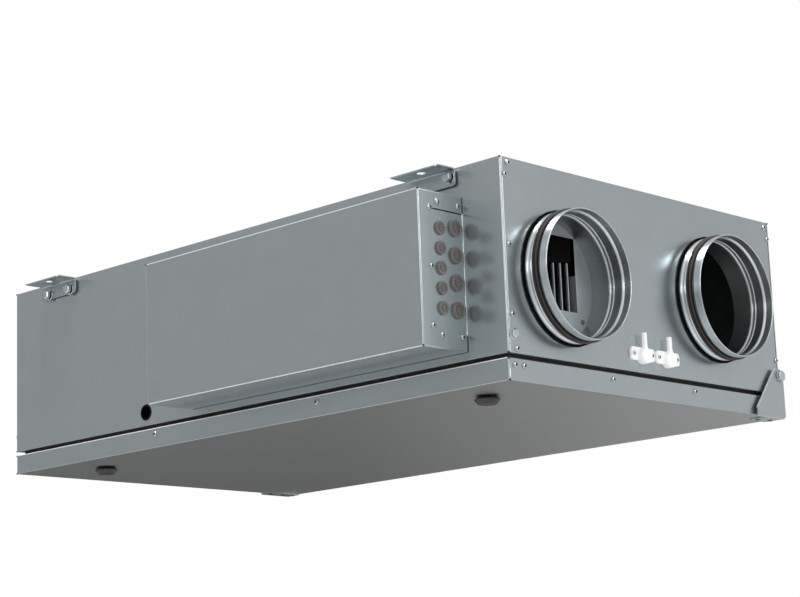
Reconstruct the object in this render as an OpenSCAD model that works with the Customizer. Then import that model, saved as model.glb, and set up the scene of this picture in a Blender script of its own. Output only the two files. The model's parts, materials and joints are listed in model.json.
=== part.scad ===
// Ceiling-hung heat recovery air handling unit, seen from below in use.
// Row frame: X along the unit, Y across it, Z up; the origin is the centre of the four
// suspension holes, on the top face of the bracket flanges. All sizes are in millimetres.

/* [Casing] */
// Length of the casing between its end faces
unit_l = 1180; // [1000:10:1400]
// Width of the casing between its side faces
unit_w = 675; // [640:5:800]
// Height of the casing above its lower edge
casing_h = 290; // [280:5:360]
// Thickness of the insulated walls and the top
wall_t = 30; // [20:1:40]
// Thickness of the folded outer skin at the casing edges
skin_t = 3; // [2.5:0.5:4]
// Outer radius of the casing's upright folds
case_fold_r = 2; // [0.5:0.25:2.5]
// Radius of the end panels' upright edges
end_fold_r = 2; // [0.5:0.25:2.5]

/* [Door] */
// Gap between casing and door, filled by the gasket
seal_gap = 7; // [5:0.5:12]
// Depth of the door tray
door_t = 33; // [24:1:45]
// Sheet thickness of the door tray
tray_t = 1.5; // [1.5:0.25:3]
// Outer radius of the door tray's upright folds
tray_fold_r = 3; // [1:0.25:3.5]
// Outer radius of the door tray's level edges
tray_edge_r = 1.25; // [0.5:0.25:1.25]
// Inset of the gasket from the casing faces
gasket_inset = 11; // [6:0.5:12]
// Width of the gasket strip
gasket_w = 18; // [10:1:22]
// Clearance between the gasket and the closed door
gasket_clear = 0.3; // [0.2:0.1:0.5]

/* [Hinge] */
// Height of the pivot above the casing's lower edge
pivot_up = 28; // [22:1:40]
// Inset of the pivot from the far side face
pivot_in = 11; // [10:1:20]
// Diameter of the pivot bolt
pivot_d = 8; // [6:0.5:12]
// Radial running clearance of the ear on the pivot bolt
pivot_clear = 0.06; // [0.02:0.01:0.1]
// Gap between the end face and the ear plate
ear_gap = 5; // [5:0.5:8]
// Sheet thickness of the hinge ear
ear_t = 3; // [1.5:0.5:4]
// Outer radius of the ear's bend
ear_bend_r = 4; // [1:0.5:6]
// Width of the ear at its foot
ear_foot_w = 78; // [60:1:90]
// Height of the upright edge above the ear's foot
ear_knee_up = 15; // [8:1:25]
// Width of the ear beside the pivot
ear_head_w = 23; // [22:1:30]
// Height of the ear above the pivot
ear_head_up = 12; // [10:0.5:16]
// Depth of the ear's flange under the door
ear_flange = 28; // [20:1:50]
// Width of the ear's flange, from the far side
ear_flange_w = 52; // [40:1:60]

/* [Knobs] */
// Widest diameter of a door knob
knob_d = 39; // [30:1:50]
// Diameter of a door knob at its two ends
knob_end_d = 28; // [20:1:29]
// Height of a door knob
knob_h = 12.5; // [10:0.5:20]
// Height of a knob's widest line above its lower face
knob_wide_up = 7; // [4:0.5:9]
// Distance of the front knob from the spigot end face
front_knob_in = 116; // [80:2:200]
// Distance of the rear knob from the rear end face
rear_knob_in = 156; // [80:2:200]
// Distance of a knob from the near side face
knob_from_side = 80.5; // [60:0.5:120]

/* [Spigots] */
// Outer diameter of the duct spigots
spigot_d = 197; // [180:1:210]
// Length of a spigot outside the end face
spigot_out = 44; // [42:1:60]
// Sheet thickness of a spigot
spigot_t = 1.5; // [1:0.25:2.5]
// Distance of the near spigot from the near side face
near_spigot_in = 139; // [135:1:160]
// Height of the near spigot above the casing's lower edge
near_spigot_up = 125; // [120:1:140]
// Distance of the far spigot from the far side face
far_spigot_in = 166; // [150:1:180]
// Height of the far spigot above the casing's lower edge
far_spigot_up = 138.5; // [120:0.5:140]
// Length of the wider rim at a spigot's mouth
rim_l = 12.3; // [8:0.1:14]
// Length of the sloped step behind the rim
step_l = 3.5; // [2:0.25:5]
// Height of the step from the spigot's neck to its rim
step_h = 2.5; // [1:0.25:4]
// Radius of the rolled bead
bead_r = 5; // [3.5:0.25:5.5]
// Distance of the bead's middle from the end face
bead_at = 6.2; // [6:0.1:7]
// Radius of the smaller bead beside it
small_bead_r = 3.5; // [2.5:0.25:4]
// Distance between the middles of the two beads
bead_pitch = 6.8; // [6:0.1:8]
// Gap between the beads, the seal and the step
seal_room = 0.5; // [0.2:0.1:1]
// Height of the seal lips above the rim
lip_h = 2.5; // [1:0.25:4]

/* [Control box] */
// Length of the control box
box_l = 617; // [400:1:800]
// Height of the control box
box_h = 232; // [210:1:260]
// Depth of the control box from the side face
box_d = 94; // [84:1:130]
// Distance of the control box from the spigot end face
box_from_end = 77; // [40:1:200]
// Clearance between the control box and the bracket's leg above it
box_drop = 18.5; // [5:0.5:25]
// Sheet thickness of the control box
box_t = 1.5; // [1:0.25:2.5]
// Width of the cover's folded strip along its front
front_strip = 30; // [16:1:31]
// Width of the cover's folded strip along its top and bottom
edge_strip = 26; // [12:1:28]
// Outer radius of the cover's folds
cover_fold_r = 2.5; // [1:0.25:3]
// Slit between the cover and the base above
top_slit = 2; // [0.5:0.1:3]
// Gap between the cover's edges and the side face
cover_gap = 1.5; // [0.5:0.1:3]
// Overlap of the base behind the cover's strips
base_lap = 10; // [4:0.5:14]

/* [Cable grommets] */
// Outer diameter of the small grommets
small_grommet_d = 20; // [14:1:24]
// Outer diameter of the large grommets
large_grommet_d = 25; // [16:1:30]
// Pitch of the small grommets
small_pitch = 29.6; // [26:0.2:32]
// Pitch of the large grommets
large_pitch = 40.8; // [32:0.2:44]
// Number of small grommets
small_count = 5; // [2:1:5]
// Number of large grommets
large_count = 4; // [2:1:4]
// Distance of the small grommets from the side face
small_out = 51; // [48:0.5:54]
// Distance of the large grommets from the side face
large_out = 19.5; // [17:0.5:22]
// Drop of the lowest grommets below the control box's mid height
grommet_drop = 57; // [48:1:64]
// Thickness of a grommet's rim
grommet_rim = 4; // [2:0.5:6]

/* [Suspension] */
// Drop of the flange's top face below the casing's top
flange_drop = 1; // [0.5:0.5:12]
// Sheet thickness of a suspension bracket
bracket_t = 2.5; // [2:0.5:4]
// Width of a suspension bracket
bracket_w = 98; // [90:1:130]
// Thickness of the rubber pad between a bracket and the side face
pad_t = 3; // [1:0.5:5]
// Reach of the flange from the side face
flange_out = 41; // [36:1:60]
// Height of the bracket's leg below the flange's top face
leg_h = 27; // [24:1:40]
// Distance of the bracket's middle from the end face
bracket_from_end = 133; // [100:1:200]
// Diameter of the hole for the threaded rod
rod_hole_d = 15; // [9:0.5:17]
// Distance of the rod's hole from the side face
rod_out = 25; // [20:0.5:28]
// Inset of the rubber pad from the leg's edges
pad_inset = 4; // [1:0.5:8]
// Radius of the small notch in the flange's outer edge
edge_notch_r = 2.2; // [1:0.1:4]
// Distance of the notch from the bracket's end
edge_notch_in = 5; // [4.5:0.5:15]

/* [Pressure taps] */
// Distance of the first tap from the near side face
tap_from_side = 306.25; // [290:0.25:330]
// Pitch of the two taps
tap_pitch = 62.5; // [60:0.5:80]
// Height of the taps above the casing's lower edge
tap_up = 28; // [22:1:34]
// Pitch of a tap's two screws
tap_screw_pitch = 45; // [38:1:46]
// Height of a tap's foot plate
tap_foot_h = 20; // [14:1:24]
// Thickness of a tap's foot plate
tap_foot_t = 5; // [2:0.5:7]
// Diameter of a tap's boss
tap_boss_d = 24; // [18:1:28]
// Drop of the boss's axis below the foot plate's middle
tap_boss_drop = 3; // [0:0.5:4]
// Reach of a tap's boss from the end face
tap_out = 13.5; // [12:0.5:20]
// Outer diameter of the tap's hose tube
hose_d = 8; // [5:0.5:9]
// Length of the hose tube above the boss's axis
hose_l = 35.5; // [25:0.5:50]

/* [Cable opening] */
// Diameter of the round opening in the near side
opening_d = 26; // [16:1:32]
// Distance of the opening from the spigot end face
opening_from_end = 812; // [720:2:900]
// Height of the opening above the casing's lower edge
opening_up = 22.5; // [20:0.5:40]

/* [Inside] */
// Length of the heat exchanger at the side walls
core_side_l = 260; // [180:10:320]
// Length of the heat exchanger along the middle
core_mid_l = 620; // [560:10:680]
// Thickness of the partitions
partition_t = 12; // [6:1:20]
// Distance of fans and filters from the exchanger's tip
bay_gap = 20; // [10:1:30]
// Thickness of the air filters
filter_t = 48; // [30:1:60]
// Pitch of the filter pleats
pleat_pitch = 24; // [16:1:40]
// Diameter of the fan impeller
impeller_d = 190; // [150:5:220]
// Width of the fan impeller
impeller_w = 62; // [40:2:70]
// Number of impeller blades
blade_count = 7; // [5:1:11]
// Thickness of the heater plate
heater_plate_t = 1.5; // [1:0.25:3]
// Width of the heater window
window_w = 116; // [80:2:140]
// Height of the heater window
window_h = 114; // [80:2:130]
// Height of the heater window's middle above the spigot's axis
window_up = 17; // [0:1:25]
// Depth of the folded cheek beside the heater window
cheek_l = 18; // [10:1:40]
// Height of the folded cheek above the window's lower edge
cheek_h = 58; // [30:1:70]
// Diameter of the heater rods
heater_rod_d = 8; // [6:0.5:8.5]
// Pitch of the heater rods
heater_pitch = 11.4; // [9.5:0.1:13]
// Number of heater hairpins
hairpin_count = 4; // [2:1:4]
// Turn of the heater's row of rods away from the plate
heater_turn = 26; // [10:1:30]
// Depth of the rods' bends below the window's lower edge
rod_dip = 10; // [0:1:30]
// Distance of the last rod's axis behind the plate
heater_back = 11; // [10:0.5:16]
// Distance of the last rod's axis from the cheek
heater_side = 7; // [6:0.5:12]
// Height of the terminal block's underside above the window's middle
block_up = 21; // [10:1:30]

/* [Hidden] */

eps = 0.01;
round_fn = 96;
small_fn = 48;

half_l = unit_l / 2;
half_w = unit_w / 2;
top_z = flange_drop;
case_z = top_z - casing_h;
ceiling_z = top_z - wall_t;
door_top_z = case_z - seal_gap;
door_z = door_top_z - door_t;
inner_l = half_l - wall_t;
inner_w = half_w - wall_t;

fit = 0.2;
collar_w = 3;
collar_t = 1;
leg_corner = 6;
curl_r = 0.9;

pivot_y = half_w - pivot_in;
pivot_z = case_z + pivot_up;
ear_round = 8;
shoulder_d = 15;
head_af = 16;
head_h = 4.6;
washer_d = 18;
washer_t = 1.6;

box_x1 = half_l - box_from_end;
box_x0 = box_x1 - box_l;
box_z1 = -leg_h - box_drop;
box_z0 = box_z1 - box_h;
box_y0 = -half_w - box_d;
grommet_z0 = (box_z0 + box_z1) / 2 - grommet_drop;

neck_r = spigot_d / 2 - step_h;
rim_at = spigot_out - rim_l;
step_at = rim_at - step_l;
beads = [[bead_at, bead_r], [bead_at + bead_pitch, small_bead_r]];
notch_r = 2.4;

core_tip_x = core_mid_l / 2;
bay_x = core_tip_x + bay_gap;
bay_w = inner_w - partition_t / 2;
bay_h = ceiling_z - case_z;

galvanised = [0.58, 0.61, 0.62];
bright_zinc = [0.75, 0.78, 0.80];
dark_rubber = [0.12, 0.11, 0.10];
grommet_rubber = [0.43, 0.40, 0.38];
black_plastic = [0.09, 0.09, 0.09];
white_plastic = [0.93, 0.94, 0.94];
aluminium = [0.74, 0.76, 0.78];
filter_white = [0.86, 0.88, 0.86];

// Places of the four spigots: side is -1 near or 1 far, end is 1 front or -1 rear
function spigot_y(side) = side < 0 ? -half_w + near_spigot_in : half_w - far_spigot_in;
function spigot_z(side) = case_z + (side < 0 ? near_spigot_up : far_spigot_up);

// A box given by its two corners
module block(low, high) {
    translate(low) cube(high - low);
}

// Children made about local Z are turned outward on an end face, at the given place
module on_end(end, y, z) {
    translate([end * half_l, y, z]) rotate([0, end * 90, 0]) children();
}

// Outline of a plate with two rounded lower corners, from its top middle downward
module tongue(w, h, r) {
    translate([-w / 2, -h + r]) square([w, h - r]);
    translate([-w / 2 + r, -h]) square([w - 2 * r, h]);
    for (side = [-1, 1])
        translate([side * (w / 2 - r), -h + r]) circle(r, $fn = small_fn);
}

// Plate with four rounded corners, centred
module rounded_plate(l, w, r) {
    square([l, w - 2 * r], center = true);
    square([l - 2 * r, w], center = true);
    for (a = [-1, 1], b = [-1, 1])
        translate([a * (l / 2 - r), b * (w / 2 - r)]) circle(r, $fn = small_fn);
}

// A box given by its two corners, with its upright and its level edges rounded
module folded_box(low, high, upright_r, level_r) {
    size = high - low;
    translate((low + high) / 2) intersection() {
        linear_extrude(size[2], center = true) rounded_plate(size[0], size[1], upright_r);
        rotate([90, 0, 0]) linear_extrude(size[1], center = true) rounded_plate(size[0], size[2], level_r);
        rotate([90, 0, 90]) linear_extrude(size[0], center = true) rounded_plate(size[1], size[2], level_r);
    }
}

// Casing

module top_panel() {
    color(galvanised) union() {
        block([-inner_l, -half_w + skin_t, top_z - skin_t], [inner_l, half_w - skin_t, top_z]);
        block([-inner_l, -inner_w, ceiling_z], [inner_l, inner_w, top_z - skin_t + eps]);
    }
}

module side_panel(side) {
    mirror([0, side > 0 ? 1 : 0, 0]) union() {
        intersection() {
            block([-half_l, -half_w, case_z], [half_l, -half_w + skin_t, top_z]);
            translate([0, 0, case_z]) linear_extrude(casing_h) rounded_plate(unit_l, unit_w, case_fold_r);
        }
        block([-inner_l, -half_w + skin_t - eps, case_z], [inner_l, -inner_w, top_z - skin_t]);
    }
}

module near_side_panel() {
    color(galvanised) difference() {
        side_panel(-1);
        translate([half_l - opening_from_end, -half_w - 1, case_z + opening_up])
            rotate([-90, 0, 0]) cylinder(h = wall_t + 2, d = opening_d, $fn = small_fn);
    }
}

module far_side_panel() {
    color(galvanised) side_panel(1);
}

module end_panel(end) {
    difference() {
        mirror([end < 0 ? 1 : 0, 0, 0]) intersection() {
            block([inner_l, -half_w + skin_t, case_z], [half_l, half_w - skin_t, top_z]);
            translate([0, 0, case_z]) linear_extrude(casing_h)
                rounded_plate(unit_l, unit_w - 2 * skin_t, end_fold_r);
        }
        for (side = [-1, 1])
            on_end(end, spigot_y(side), spigot_z(side)) translate([0, 0, -wall_t - 1])
                cylinder(h = wall_t + 2, r = neck_r + fit, $fn = round_fn);
    }
}

module spigot_end_panel() {
    color(galvanised) end_panel(1);
}

module rear_end_panel() {
    color(galvanised) end_panel(-1);
}

// Four strips that butt at the corners; the far strip stays inside the pivot's line
module door_gasket() {
    x = half_l - gasket_inset;
    near = -half_w + gasket_inset;
    far = pivot_y;
    low = door_top_z + gasket_clear;
    color(dark_rubber) {
        block([-x, near, low], [x, near + gasket_w, case_z]);
        block([-x, far - gasket_w, low], [x, far, case_z]);
        for (end = [-1, 1])
            mirror([end < 0 ? 1 : 0, 0, 0])
                block([x - gasket_w, near + gasket_w + fit, low], [x, far - gasket_w - fit, case_z]);
    }
}

// Duct spigots

// Neck with two rolled beads, a sloped step up to the rim and a curled mouth
module spigot_profile() {
    rim_r = spigot_d / 2;
    inner = neck_r - spigot_t;
    mouth = spigot_out - curl_r;
    difference() {
        union() {
            polygon([[inner, -wall_t], [neck_r, -wall_t], [neck_r, step_at], [rim_r, rim_at],
                [rim_r, mouth], [rim_r - spigot_t, mouth], [rim_r - spigot_t, rim_at], [inner, step_at]]);
            translate([rim_r - curl_r, mouth]) circle(curl_r, $fn = small_fn);
            translate([neck_r - eps, 0]) square([collar_w, collar_t]);
            for (bead = beads)
                translate([inner, bead[0]]) intersection() {
                    circle(bead[1], $fn = small_fn);
                    translate([0, -bead[1]]) square(2 * bead[1]);
                }
        }
        for (bead = beads)
            translate([inner, bead[0]]) circle(bead[1] - spigot_t, $fn = small_fn);
    }
}

module spigot(end, side) {
    color(bright_zinc) on_end(end, spigot_y(side), spigot_z(side))
        rotate_extrude($fn = round_fn) spigot_profile();
}

// Double-lip ring seated on the spigot's neck, between the beads and the step
module seal_profile() {
    base = neck_r + fit / 2;
    top = spigot_d / 2 + lip_h;
    start = bead_at + bead_pitch + small_bead_r + seal_room;
    length = step_at - seal_room - start;
    band = 1.6;
    lip_w = 1.2;
    polygon([[base, start], [base + band, start], [top, start + 0.12 * length],
        [top, start + 0.12 * length + lip_w], [base + band, start + 0.4 * length],
        [base + band, start + 0.55 * length], [top, start + 0.67 * length],
        [top, start + 0.67 * length + lip_w], [base + band, start + 0.95 * length],
        [base, start + length]]);
}

module seal(end, side) {
    color(dark_rubber) on_end(end, spigot_y(side), spigot_z(side))
        rotate_extrude($fn = round_fn) seal_profile();
}

module supply_spigot() { spigot(1, -1); }
module extract_spigot() { spigot(1, 1); }
module exhaust_spigot() { spigot(-1, -1); }
module outdoor_spigot() { spigot(-1, 1); }
module supply_seal() { seal(1, -1); }
module extract_seal() { seal(1, 1); }
module exhaust_seal() { seal(-1, -1); }
module outdoor_seal() { seal(-1, 1); }

// Control box

// Window in the cover's ends, less a gap above
module box_end_window(top_gap) {
    block([box_x0 - 1, box_y0 + front_strip, box_z0 + edge_strip],
        [box_x1 + 1, -half_w, box_z1 - edge_strip - top_gap]);
}

// Notches left by the folds at the corners of a tray, given by two of its corners
module fold_notches(low, high) {
    for (x = [low[0], high[0]], z = [low[2], high[2]])
        translate([x, low[1], z]) sphere(notch_r, $fn = small_fn);
}

module control_box_cover() {
    wall_y = -half_w - cover_gap;
    color(galvanised) difference() {
        intersection() {
            folded_box([box_x0, box_y0, box_z0], [box_x1, -half_w + wall_t, box_z1],
                cover_fold_r, cover_fold_r);
            block([box_x0, box_y0, box_z0], [box_x1, wall_y, box_z1]);
        }
        block([box_x0 + box_t, box_y0 + box_t, box_z0 + box_t], [box_x1 - box_t, wall_y + 1, box_z1 - box_t]);
        box_end_window(0);
        fold_notches([box_x0, box_y0, box_z0], [box_x1, wall_y, box_z1]);
    }
}

module grommet_row(count, pitch, out) {
    for (i = [0:count - 1])
        translate([box_x1, -half_w - out, grommet_z0 + i * pitch]) rotate([0, 90, 0]) children();
}

// End plates that fill the cover's windows, lapped behind its strips and bent into a back plate
module control_box_base() {
    end_t = 2 * box_t;
    back_low = box_z0 + edge_strip;
    back_high = box_z1 - edge_strip - top_slit;
    lap_y = box_y0 + front_strip - base_lap;
    color(galvanised) difference() {
        union() {
            intersection() {
                box_end_window(top_slit);
                folded_box([box_x0, box_y0 - wall_t, box_z0 - wall_t],
                    [box_x1, -half_w, box_z1 + wall_t], end_t, end_t);
                for (x = [box_x0, box_x1 - end_t])
                    block([x, box_y0, box_z0], [x + end_t, -half_w, box_z1]);
            }
            for (x = [box_x0 + box_t, box_x1 - end_t])
                block([x, lap_y, box_z0 + edge_strip - base_lap],
                    [x + box_t, -half_w - end_t, box_z1 - edge_strip + base_lap]);
            block([box_x0 + end_t, -half_w - box_t, back_low], [box_x1 - end_t, -half_w, back_high]);
        }
        grommet_row(small_count, small_pitch, small_out) grommet_hole(small_grommet_d);
        grommet_row(large_count, large_pitch, large_out) grommet_hole(large_grommet_d);
    }
}

function grommet_neck(d) = 0.72 * d;

module grommet_hole(d) {
    translate([0, 0, -2 * box_t - 1]) cylinder(h = 2 * box_t + 2, d = grommet_neck(d) + fit, $fn = small_fn);
}

// Blind cable grommet: rim with a raised ring and a dimpled middle, seated on the plate's outer face
module grommet(d) {
    neck = grommet_neck(d) / 2;
    rim = grommet_rim;
    rotate_extrude($fn = small_fn) difference() {
        union() {
            square([d / 2 - 1, rim]);
            square([d / 2, rim - 1]);
            translate([d / 2 - 1, rim - 1]) circle(1, $fn = small_fn);
            translate([0, -2 * box_t - 1]) square([neck, 2 * box_t + 1 + eps]);
        }
        translate([0.22 * d, rim - 1.2]) square([0.08 * d, 2]);
        translate([0, rim - 0.8]) square([0.1 * d, 2]);
        translate([-d, -d]) square([d, 2 * d]);
    }
}

module small_grommets() {
    color(grommet_rubber) grommet_row(small_count, small_pitch, small_out) grommet(small_grommet_d);
}

module large_grommets() {
    color(grommet_rubber) grommet_row(large_count, large_pitch, large_out) grommet(large_grommet_d);
}

// Suspension brackets

// Folded angle in a plane across the unit: flange outward at the top, leg down the side face
module bracket_section() {
    t = bracket_t;
    bend = 2 * t;
    translate([0, -leg_h]) square([t, leg_h - bend]);
    translate([bend, -t]) square([flange_out - pad_t - bend, t]);
    intersection() {
        translate([0, -bend]) square(bend);
        translate([bend, -bend]) difference() {
            circle(bend, $fn = small_fn);
            circle(bend - t, $fn = small_fn);
        }
    }
}

// Children made for the far front place are put at one of the four suspension places
module at_bracket(end, side) {
    translate([end * (half_l - bracket_from_end), side * half_w, 0])
        mirror([0, side < 0 ? 1 : 0, 0]) children();
}

// Outline of the bracket's leg less an inset, put upright with the given reach along Y
module leg_slab(reach, inset) {
    translate([0, reach, -inset]) rotate([90, 0, 0]) linear_extrude(reach)
        tongue(bracket_w - 2 * inset, leg_h - 2 * inset, leg_corner);
}

module suspension_bracket(end, side) {
    color(galvanised) at_bracket(end, side) difference() {
        intersection() {
            translate([0, pad_t, 0]) rotate([90, 0, 90])
                linear_extrude(bracket_w, center = true) bracket_section();
            leg_slab(flange_out, 0);
        }
        translate([0, rod_out, -leg_h]) cylinder(h = 2 * leg_h, d = rod_hole_d, $fn = small_fn);
        translate([bracket_w / 2 - edge_notch_in, flange_out, -leg_h])
            cylinder(h = 2 * leg_h, r = edge_notch_r, $fn = small_fn);
    }
}

// Rubber pads between the brackets' legs and the side faces
module bracket_pads() {
    color(dark_rubber) for (end = [-1, 1], side = [-1, 1])
        at_bracket(end, side) leg_slab(pad_t, pad_inset);
}

module bracket_near_front() { suspension_bracket(1, -1); }
module bracket_near_rear() { suspension_bracket(-1, -1); }
module bracket_far_front() { suspension_bracket(1, 1); }
module bracket_far_rear() { suspension_bracket(-1, 1); }

// Pressure taps

// Tap about its foot: local Z is outward from the panel, local X is down
module pressure_tap(y) {
    foot_l = tap_screw_pitch + 12;
    foot_round = 5;
    chamfer = 1.5;
    collar_up = max(tap_boss_d / 2, tap_foot_h / 2 + tap_boss_drop) + 0.5;
    collar_d = hose_d + 1.6;
    bore_d = 0.6 * hose_d;
    axis_out = tap_out - collar_d / 2;
    face_d = tap_boss_d - 2 * chamfer;
    color(white_plastic) on_end(1, y, case_z + tap_up) difference() {
        union() {
            linear_extrude(tap_foot_t) rounded_plate(tap_foot_h, foot_l, foot_round);
            translate([tap_boss_drop, 0, 0]) {
                cylinder(h = tap_out - chamfer, d = tap_boss_d, $fn = small_fn);
                translate([0, 0, tap_out - chamfer])
                    cylinder(h = chamfer, d1 = tap_boss_d, d2 = face_d, $fn = small_fn);
                translate([0, 0, axis_out]) rotate([0, -90, 0]) {
                    cylinder(h = collar_up, d = collar_d, $fn = small_fn);
                    cylinder(h = hose_l, d = hose_d, $fn = small_fn);
                }
            }
        }
        translate([tap_boss_drop - hose_l / 2, 0, axis_out]) rotate([0, -90, 0])
            cylinder(h = hose_l, d = bore_d, $fn = small_fn);
    }
}

module pressure_tap_left() { pressure_tap(-half_w + tap_from_side); }
module pressure_tap_right() { pressure_tap(-half_w + tap_from_side + tap_pitch); }

// Rubber bush that lines the round opening in the near side
module opening_bush() {
    rim_w = 0.5;
    rim_t = 1;
    lining = 2.5;
    r = opening_d / 2 - fit / 2;
    color(black_plastic) translate([half_l - opening_from_end, -half_w, case_z + opening_up])
        rotate([90, 0, 0]) rotate_extrude($fn = small_fn) {
            translate([r - lining, -wall_t]) square([lining, wall_t + rim_t]);
            translate([r - lining, 0]) square([lining + rim_w, rim_t]);
        }
}

// Hinge

// Shouldered bolt about local Z: spacer on the panel, shank through the ear, washer and hex head
module pivot_bolt(end) {
    gap = fit;
    ear_end = ear_gap + ear_t + gap;
    color(bright_zinc) on_end(end, pivot_y, pivot_z) union() {
        cylinder(h = ear_gap - gap, d = shoulder_d, $fn = small_fn);
        cylinder(h = ear_end + washer_t, d = pivot_d, $fn = small_fn);
        translate([0, 0, ear_end]) cylinder(h = washer_t, d = washer_d, $fn = small_fn);
        translate([0, 0, ear_end + washer_t - eps])
            cylinder(h = head_h, d = head_af / cos(30), $fn = 6);
    }
}

module pivot_bolt_front() { pivot_bolt(1); }
module pivot_bolt_rear() { pivot_bolt(-1); }

// Ear outline in a plane along Y and Z about the pivot, down to the flange under the door
module ear_outline() {
    foot = door_z - ear_t - pivot_z;
    far = pivot_in;
    near = far - ear_foot_w;
    difference() {
        union() {
            polygon([[near, foot], [near, foot + ear_knee_up], [far - ear_head_w, ear_head_up],
                [far - ear_head_up, ear_head_up], [far, 0],
                [far, foot + ear_round], [far - ear_round, foot]]);
            translate([far - ear_head_up, 0]) circle(ear_head_up, $fn = small_fn);
            translate([far - ear_round, foot + ear_round]) circle(ear_round, $fn = small_fn);
        }
        circle(pivot_d / 2 + pivot_clear, $fn = small_fn);
    }
}

// Ear and flange in a plane along X and Z, with the round bend at their lower outer edge
module ear_bend_outline() {
    outer = half_l + ear_gap + ear_t;
    low = door_z - ear_t;
    start = half_l - ear_flange;
    translate([start, low + ear_bend_r]) square([outer - start, casing_h]);
    translate([start, low]) square([outer - ear_bend_r - start, 2 * ear_bend_r]);
    translate([outer - ear_bend_r, low + ear_bend_r]) circle(ear_bend_r, $fn = small_fn);
}

module hinge_ear(end) {
    foot_far = half_w - ear_round;
    foot_near = half_w - ear_flange_w;
    color(galvanised) mirror([end < 0 ? 1 : 0, 0, 0]) intersection() {
        union() {
            translate([half_l + ear_gap, pivot_y, pivot_z]) rotate([90, 0, 90])
                linear_extrude(ear_t) ear_outline();
            block([half_l - ear_flange, foot_near, door_z - ear_t],
                [half_l + ear_gap + ear_t / 2, foot_far, door_z]);
        }
        translate([0, half_w, 0]) rotate([90, 0, 0]) linear_extrude(unit_w) ear_bend_outline();
    }
}

module hinge_ear_front() { hinge_ear(1); }
module hinge_ear_rear() { hinge_ear(-1); }

// Door

module door_tray() {
    color(galvanised) difference() {
        folded_box([-half_l, -half_w, door_z], [half_l, half_w, door_top_z], tray_fold_r, tray_edge_r);
        block([-half_l + tray_t, -half_w + tray_t, door_z + tray_t],
            [half_l - tray_t, half_w - tray_t, door_top_z + 1]);
        for (x = [-half_l, half_l], y = [-half_w, half_w])
            translate([x, y, door_z]) sphere(notch_r, $fn = small_fn);
    }
}

module door_liner() {
    edge = tray_t + fit;
    color(bright_zinc)
        block([-half_l + edge, -half_w + edge, door_z + tray_t], [half_l - edge, half_w - edge, door_top_z]);
}

// Round knob of two cones with a narrow band at its widest
module knob(x) {
    band = 1.5;
    end_r = knob_end_d / 2;
    wide_r = knob_d / 2;
    color(black_plastic) translate([x, -half_w + knob_from_side, door_z - knob_h])
        rotate_extrude($fn = round_fn)
            polygon([[0, 0], [end_r, 0], [wide_r, knob_wide_up - band / 2],
                [wide_r, knob_wide_up + band / 2], [end_r, knob_h], [0, knob_h]]);
}

module knob_front() { knob(half_l - front_knob_in); }
module knob_rear() { knob(-half_l + rear_knob_in); }

// Inside

module heat_exchanger() {
    tip = partition_t / 2;
    side_x = core_side_l / 2;
    color(aluminium) translate([0, 0, case_z]) linear_extrude(bay_h)
        polygon([[-core_tip_x, -tip], [-side_x, -inner_w], [side_x, -inner_w], [core_tip_x, -tip],
            [core_tip_x, tip], [side_x, inner_w], [-side_x, inner_w], [-core_tip_x, tip]]);
}

module partition(end) {
    stop = end > 0 ? inner_l - heater_plate_t : inner_l;
    color(galvanised) mirror([end < 0 ? 1 : 0, 0, 0])
        block([core_tip_x, -partition_t / 2, case_z], [stop, partition_t / 2, ceiling_z]);
}

module partition_front() { partition(1); }
module partition_rear() { partition(-1); }

// Pleated panel filter in a frame, across the far bay
module filter(end) {
    frame = 14;
    sheet = 2;
    media_w = bay_w - 2 * frame;
    pleats = floor(media_w / pleat_pitch);
    step = media_w / pleats / 2;
    depth = filter_t - 2 * sheet;
    front = [for (i = [0:2 * pleats]) [i * step, i % 2 == 0 ? 0 : depth - sheet]];
    back = [for (i = [2 * pleats:-1:0]) [i * step, (i % 2 == 0 ? 0 : depth - sheet) + sheet]];
    color(filter_white) mirror([end < 0 ? 1 : 0, 0, 0]) translate([bay_x, partition_t / 2, case_z]) {
        difference() {
            cube([filter_t, bay_w, bay_h]);
            translate([-1, frame, frame]) cube([filter_t + 2, media_w, bay_h - 2 * frame]);
        }
        translate([filter_t - sheet, frame, frame - eps]) rotate(90)
            linear_extrude(bay_h - 2 * frame + 2 * eps) polygon(concat(front, back));
    }
}

module extract_filter() { filter(1); }
module outdoor_filter() { filter(-1); }

// Backward-curved blade outline, from the hub to the rim
module blade_outline() {
    hub = 0.32 * impeller_d;
    rim = 0.49 * impeller_d;
    bow = 0.42 * impeller_d;
    blade_t = 2;
    intersection() {
        difference() {
            circle(rim, $fn = round_fn);
            circle(hub, $fn = round_fn);
        }
        translate([0, -bow]) difference() {
            circle(bow + blade_t / 2, $fn = round_fn);
            circle(bow - blade_t / 2, $fn = round_fn);
        }
        translate([0, -impeller_d]) square([impeller_d, 2 * impeller_d]);
    }
}

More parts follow.
